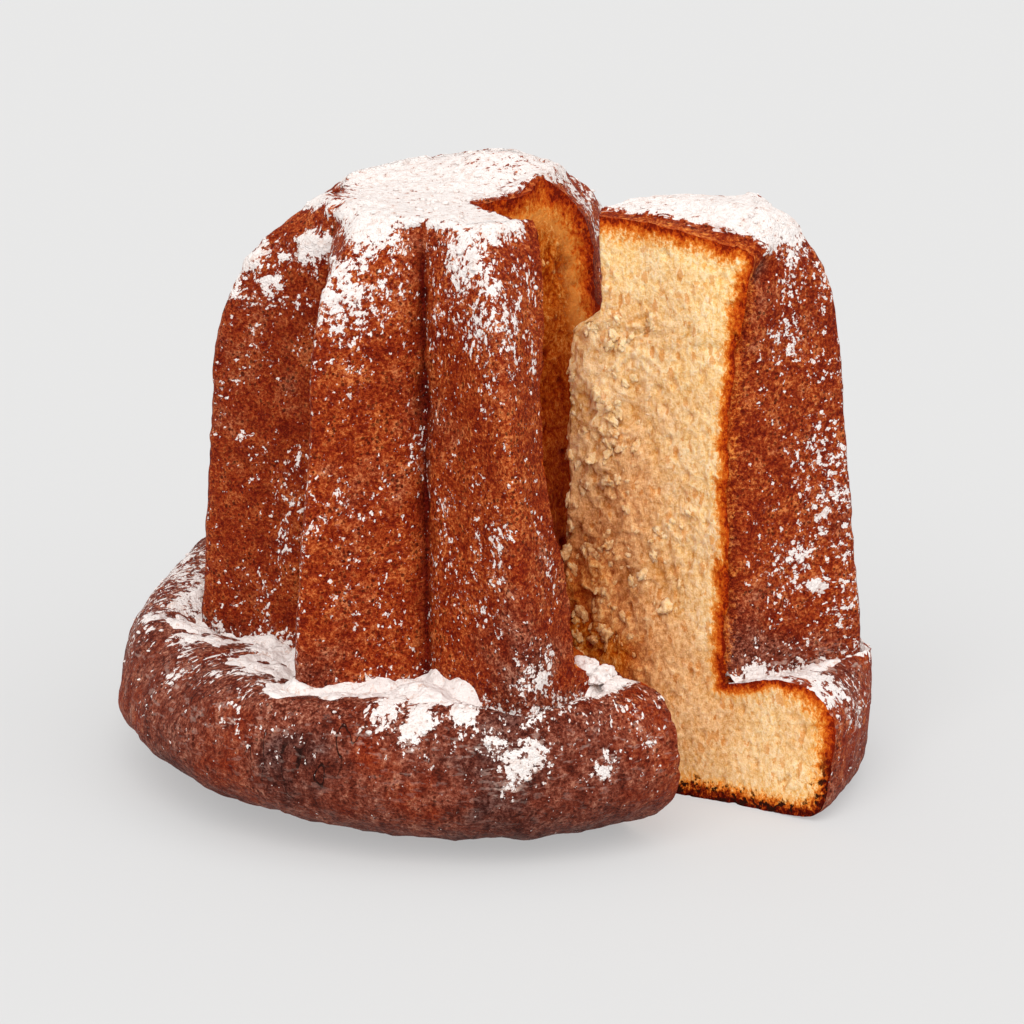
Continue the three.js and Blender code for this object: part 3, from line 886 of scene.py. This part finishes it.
def dressed_body(name, spec, turn, pitch, sugar_of, look, cut, cut_pitch, torn, painted_shade_of):
    """The pandoro of a spec, cut by its wedge, with what its materials need to know at each point."""
    skin = whole_pandoro(spec, turn, pitch)
    sugar = sugar_of(skin)
    normal = grid_normals(skin.points)
    points = skin.points + normal * skin_relief(spec, skin, sugar)[..., None]
    points[0] = skin.points[0]
    points[-1] = points[-1].mean(axis=0)
    body = ring_solid(name, points[1:-1], points[0, 0], points[-1, 0], 0)
    tree = BVHTree.FromObject(body, bpy.context.evaluated_depsgraph_get())
    rings, relief = wedge(cut, cut_pitch, crumb_relief(torn))
    cutter = ring_solid("cutter", rings, rings[0].mean(axis=0), rings[-1].mean(axis=0), 1)
    boolean(body, cutter, "INTERSECT" if cut.keeps_inside else "DIFFERENCE")

    mesh = body.data
    placed = positions(mesh)
    place = nearest_index(points.reshape(-1, 3), placed)
    depth = np.array([tree.find_nearest(Vector(p))[3] for p in placed * MM]) / MM
    rim = np.clip(depth / np.array(look.band)[skin.zone.ravel()[place]], 0, FAR_FROM_RIM)
    cut_place = nearest_index(rings.reshape(-1, 3), placed)
    skin_values = dict(
        sugar=sugar,
        browning=browning(skin, look),
        crease=crease_shade(skin, look.valleys),
        cracked=crack_mask(skin, look.cracked),
        glow=glow_at(skin, cut),
    )
    for key, values in skin_values.items():
        set_attribute(mesh, key, values.ravel()[place])
    set_attribute(mesh, "rim", rim)
    # The cut face's relief, which the crumb shader turns into painted light on raised parts and painted
    # shade in hollows.
    set_attribute(mesh, "height", np.clip(0.5 + relief.ravel()[cut_place] / 6, 0, 1))
    # Painted shade of the cut face: darker, more golden crumb.
    set_attribute(mesh, "deep", painted_shade_of(placed))
    finish_shading(mesh)
    chance = np.clip(torn(placed) - 0.3, 0, 1) * (rim > 1.3)
    normals = read(mesh.vertex_normals, "vector", size=3)
    skin.points, skin.normal, skin.sugar = points, normal, sugar
    return body, skin, SimpleNamespace(points=placed, normals=normals, chance=chance)


def notch_painted_shade(points):
    """Painted shade on the crumb in the notch, darker and more golden: most where it is narrow and low."""
    z = points[..., 2]
    return smoothstep(110, 60, along_cut(NOTCH, points)) * mix(1.6, 1.1, smoothstep(90, 180, z))


def slice_painted_shade(points):
    """Painted shade on the slice's crumb, darker and more golden: most low down on the left."""
    z, along = points[..., 2], along_cut(SLICE_CUT, points)
    low = smoothstep(150, 60, z) * smoothstep(75, 20, along)
    plain = 0.04 + 0.11 * smoothstep(175, 110, z) + 0.1 * smoothstep(70, 45, z)
    plain = plain + 0.16 * smoothstep(62, 45, z) * smoothstep(95, 70, along)
    plain = plain + 0.13 * smoothstep(60, 30, along) * smoothstep(185, 165, z)
    return np.clip(0.6 * low + plain + 0.16 * noise(points, 15, 79, 2), 0, 1)


LOAF_PITCH, NOTCH_PITCH = 1.5, 1.2  # millimetres from point to point
SLICE_PITCH, SLICE_CUT_PITCH = 1.1, 0.75

loaf_turns = np.arange(480) * 0.75
slice_turns = np.concatenate([np.arange(50, 118, 0.55), np.arange(122, 408, 6)]) - SLICE.ridge_azimuth

loaf, loaf_skin, notch_face = dressed_body(
    "loaf_bread", LOAF, loaf_turns, LOAF_PITCH, loaf_sugar, LOAF_LOOK, NOTCH, NOTCH_PITCH,
    notch_torn, notch_painted_shade,
)
slice_, slice_skin, slice_face = dressed_body(
    "slice_bread", SLICE, slice_turns, SLICE_PITCH, slice_sugar, SLICE_LOOK, SLICE_CUT, SLICE_CUT_PITCH,
    slice_torn, slice_painted_shade,
)
for piece, node, slot in ((loaf, "loaf", "crust"), (slice_, "slice", "crumb")):
    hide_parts(node)
    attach(piece, "root")


# ---- Sugar heaped in the groove ----

GROOVE_ROWS = 41
# Azimuth, height and width of the piles in the loaf's groove.
LOAF_PILES = ((-10, 6, 10), (-28, 2.5, 12), (-60, 2, 14), (26, 3, 7), (8, -2.5, 5))


def groove_sheet(name, spec, turn, fill_at, patch_level, seed, keep):
    """A sheet of sugar that fills the bottom of the groove, leans on the wall and thins out on the roll."""
    azimuths = turn + spec.ridge_azimuth + around(spec.shift, turn)
    reach = around(spec.reach, turn)
    crest = around(spec.crest, turn)
    belly = around(spec.belly, turn)
    groove = star_radius(spec, turn, spec.foot)
    crest_radius = mix(groove, reach, spec.crest_share)
    rows = []
    dx, dy = direction(azimuths)
    fill, spread = fill_at(azimuths)
    for out in np.linspace(0, 1, GROOVE_ROWS):
        radius = mix(groove - 3, crest_radius + np.minimum(9, 0.6 * (reach - crest_radius)), out)
        share = np.clip((crest_radius - radius) / (crest_radius - groove), 0, 1)
        inner = mix(crest, spec.foot, 1 - np.cos(share * math.pi / 2))
        past_crest = (radius - crest_radius) / (reach - crest_radius)
        outer = mix(belly, crest, np.sqrt(np.clip(1 - past_crest**2, 0, 1)))
        ground = np.where(radius < crest_radius, inner, outer)
        at = np.stack([radius * dx, radius * dy, ground], -1)
        patch = noise(at, 9, seed, 3)
        thick = 2.4 * (patch - patch_level) + spread - (2.6 + spread) * smoothstep(0.5, 1.0, out)
        pile = spec.foot + fill - 0.5 * np.maximum(0, radius - groove)
        pile = pile + 4.5 * noise(at, 10, seed + 1, 3) - 8 * smoothstep(0.55, 1.0, out)
        height = np.maximum(ground + thick, pile) + 1.3 * noise(at, 3.2, seed + 2, 3)
        x = spec.place[0] + radius * dx + lean_at(spec, height)
        y = spec.place[1] + radius * dy
        rows.append(np.stack([x, y, height], -1))
    points = np.array(rows)
    faces = grid_faces(GROOVE_ROWS, len(azimuths), closed=False)
    kept = keep(points).ravel()
    faces = faces[kept[faces].all(axis=1)][:, ::-1]
    used = np.unique(faces)
    renumber = np.full(points.shape[0] * points.shape[1], -1)
    renumber[used] = np.arange(len(used))
    sheet = mesh_object(name, points.reshape(-1, 3)[used], renumber[faces], (SUGAR,))
    smooth(sheet.data)
    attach(sheet, "root")


def loaf_fill(azimuth):
    """How high the sugar is filled in over the groove, and how far it spreads over the roll."""
    at = signed(azimuth)
    fill = 2.0 + sum(height * bump_at(at, middle, width) for middle, height, width in LOAF_PILES)
    return fill, 4.6 * bump_at(at, -13, 9)


def slice_fill(azimuth):
    return 2.4 + 2.5 * bump_at(azimuth, 62, 7), 0


groove_sheet(
    "loaf_groove_sugar", LOAF, np.arange(0, 360.5, 0.45), loaf_fill, 0.12, 81,
    lambda points: ~inside_wedge(NOTCH, points, 0.6),
)
groove_sheet(
    "slice_groove_sugar", SLICE, np.arange(-26, 24, 0.45), slice_fill, 0.1, 91,
    lambda points: inside_wedge(SLICE_CUT, points, -0.8),
)


# ---- Loose lumps of sugar ----

def lump_shape(subdivisions=2):
    """An icosphere's points and faces."""
    made = bmesh.new()
    bmesh.ops.create_icosphere(made, subdivisions=subdivisions, radius=1)
    made.verts.index_update()
    points = np.array([vertex.co[:] for vertex in made.verts])
    faces = np.array([[vertex.index for vertex in face.verts] for face in made.faces])
    made.free()
    return points, faces


def joined_bodies(name, bodies, faces, material):
    """One object of many small bodies with the same faces."""
    offset = (np.arange(len(bodies)) * len(bodies[0]))[:, None, None]
    made = mesh_object(name, np.concatenate(bodies), (faces[None] + offset).reshape(-1, 3), (material,))
    smooth(made.data)
    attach(made, "root")
    return made


# The share of lumps that lie on each zone of the skin.
LUMPS_ON = np.array([0, 0.5, 1, 1, 0.6, 0.3, 0.05])


def scatter_lumps(name, skin, count, keep, seed, sizes):
    """Loose lumps of sugar where it lies thick and the skin faces up."""
    random = np.random.default_rng(seed)
    points = skin.points.reshape(-1, 3)
    normals = skin.normal.reshape(-1, 3)
    chance = skin.sugar.ravel() ** 3 * np.maximum(0.05, normals[:, 2]) * keep(points)
    chance = chance * LUMPS_ON[skin.zone.ravel()]
    picked = random.choice(len(points), count, replace=False, p=chance / chance.sum())
    shape, faces = lump_shape()
    bodies = []
    for i, index in enumerate(picked):
        size = random.uniform(*sizes) ** 2
        body = shape * (size, size, size * 0.6) * random.uniform(0.75, 1.25, 3)
        body = body * (1 + 0.35 * noise(shape * 1.3 + i * 3.7, 0.9, seed)[:, None])
        angle = random.uniform(0, 2 * math.pi)
        c, s = math.cos(angle), math.sin(angle)
        body = body @ [[c, s, 0], [-s, c, 0], [0, 0, 1]]
        bodies.append(points[index] + normals[index] * size * 0.15 + body)
    joined_bodies(name, bodies, faces, SUGAR)


def scatter_tufts(name, face, count, seed, largest, painted_shade_of):
    """Uneven tufts of crumb that stand out of the torn parts of a cut face, most of them small."""
    random = np.random.default_rng(seed)
    chance = face.chance / face.chance.sum()
    picked = random.choice(len(chance), count, replace=False, p=chance)
    shape, faces = lump_shape(3)
    bodies = []
    for i, index in enumerate(picked):
        out = Vector(face.normals[index])
        size = mix(0.6, largest, random.uniform() ** 2)
        body = shape * (size, size * random.uniform(0.45, 0.8), size * random.uniform(0.25, 0.5))
        body = body * (1 + 1.1 * noise(shape * 1.1 + i * 3.7, 0.6, seed, 4)[:, None])
        along = Vector((*random.uniform(-1, 1, 2), random.uniform(-2, 2)))
        along = (along - along.project(out)).normalized() + out * random.uniform(-0.1, 0.4)
        along.normalize()
        across = out.cross(along).normalized()
        up = along.cross(across).normalized()
        axes = np.array([along, across, up])
        bodies.append(face.points[index] + np.array(out) * size * 0.08 + body @ axes)
    tufts = joined_bodies(name, bodies, faces, CRUMB)
    placed = positions(tufts.data)
    set_attribute(tufts.data, "rim", np.full(len(placed), FAR_FROM_RIM))
    # Painted light: tufts are lighter than the face around them, with less painted shade.
    set_attribute(tufts.data, "height", np.full(len(placed), 0.7))
    set_attribute(tufts.data, "deep", 0.75 * painted_shade_of(placed))


scatter_lumps("loaf_sugar_lumps", loaf_skin, 320, lambda p: ~inside_wedge(NOTCH, p, 1.5), 5, (0.55, 1.15))
scatter_lumps(
    "slice_sugar_lumps", slice_skin, 60, lambda p: inside_wedge(SLICE_CUT, p, -1.5), 6, (0.55, 1.05)
)
scatter_tufts("slice_tufts", slice_face, 330, 7, 2.7, slice_painted_shade)
scatter_tufts("notch_tufts", notch_face, 110, 8, 2.2, notch_painted_shade)


def heap(name, lumps, seed):
    """A small heap of sugar made of overlapping lumps, each a place and its radii."""
    shape, faces = lump_shape(5)
    bodies = []
    for place, radii in lumps:
        body = shape * radii
        body = body * (1 + 0.75 * noise(body + place, 3.4, seed, 4)[:, None])
        bodies.append(body + place)
    joined_bodies(name, bodies, faces, SUGAR)


heap(
    "loaf_notch_heap",
    (((29, -77, 58.5), (4, 5, 2.6)), ((34, -78, 56), (5, 6, 2.6)), ((39, -81, 53.8), (4.5, 5.5, 2.2))),
    92,
)


# ---- Floor, light and camera ----

FLOOR_GREY, FLOOR_SHINE = 0.3, 0.4
FLOOR_SIDE, FLOOR_FRONT, FLOOR_BACK = 6000, -4000, 9000
WORLD_STRENGTH = 0.75
LENS, SENSOR_WIDTH = 140.625, 36
CAMERA_PLACE = (0, -1.3464, 0.4987)
CAMERA_DOWN, CAMERA_RIGHT = 16.9, 0.2  # degrees


def floor_material():
    """Pale grey that shines enough to match the backdrop and still takes a soft shadow."""
    n = Nodes("floor")
    n.shader.inputs["Emission Color"].default_value = (1, 1, 1, 1)
    n.shader.inputs["Emission Strength"].default_value = FLOOR_SHINE
    return n.dress((FLOOR_GREY, FLOOR_GREY, FLOOR_GREY, 1), 1, 0)


floor = mesh_object(
    "floor",
    [(-FLOOR_SIDE, FLOOR_FRONT, 0), (FLOOR_SIDE, FLOOR_FRONT, 0), (FLOOR_SIDE, FLOOR_BACK, 0),
     (-FLOOR_SIDE, FLOOR_BACK, 0)],
    [(0, 1, 2, 3)], (floor_material(),),
)


def sun(name, azimuth, elevation, strength, spread, colour=(1, 1, 1)):
    """A soft sun: azimuth in degrees from the front towards the right, spread its width in degrees."""
    data = bpy.data.lights.new(name, "SUN")
    data.energy = strength
    data.angle = math.radians(spread)
    data.color = colour
    light = bpy.data.objects.new(name, data)
    dx, dy = direction(azimuth)
    up = math.tan(math.radians(elevation))
    light.rotation_euler = Vector((dx, dy, up)).to_track_quat("Z", "Y").to_euler()
    scene.collection.objects.link(light)


sun("key", -13, 46, 1.8, 45, (1.0, 0.985, 0.96))
sun("fill", 40, 50, 0.85, 70)

world = bpy.data.worlds.new("studio")
world.use_nodes = True
background = world.node_tree.nodes["Background"].inputs
background["Color"].default_value = (1, 1, 1, 1)
background["Strength"].default_value = WORLD_STRENGTH
scene.world = world

scene.view_settings.view_transform = "Standard"

camera_data = bpy.data.cameras.new("camera")
camera_data.sensor_width = SENSOR_WIDTH
camera_data.lens = LENS
camera_data.clip_end = 50
camera = bpy.data.objects.new("camera", camera_data)
camera.location = CAMERA_PLACE
camera.rotation_euler = (math.radians(90 - CAMERA_DOWN), 0, -math.radians(CAMERA_RIGHT))
scene.collection.objects.link(camera)
scene.camera = camera
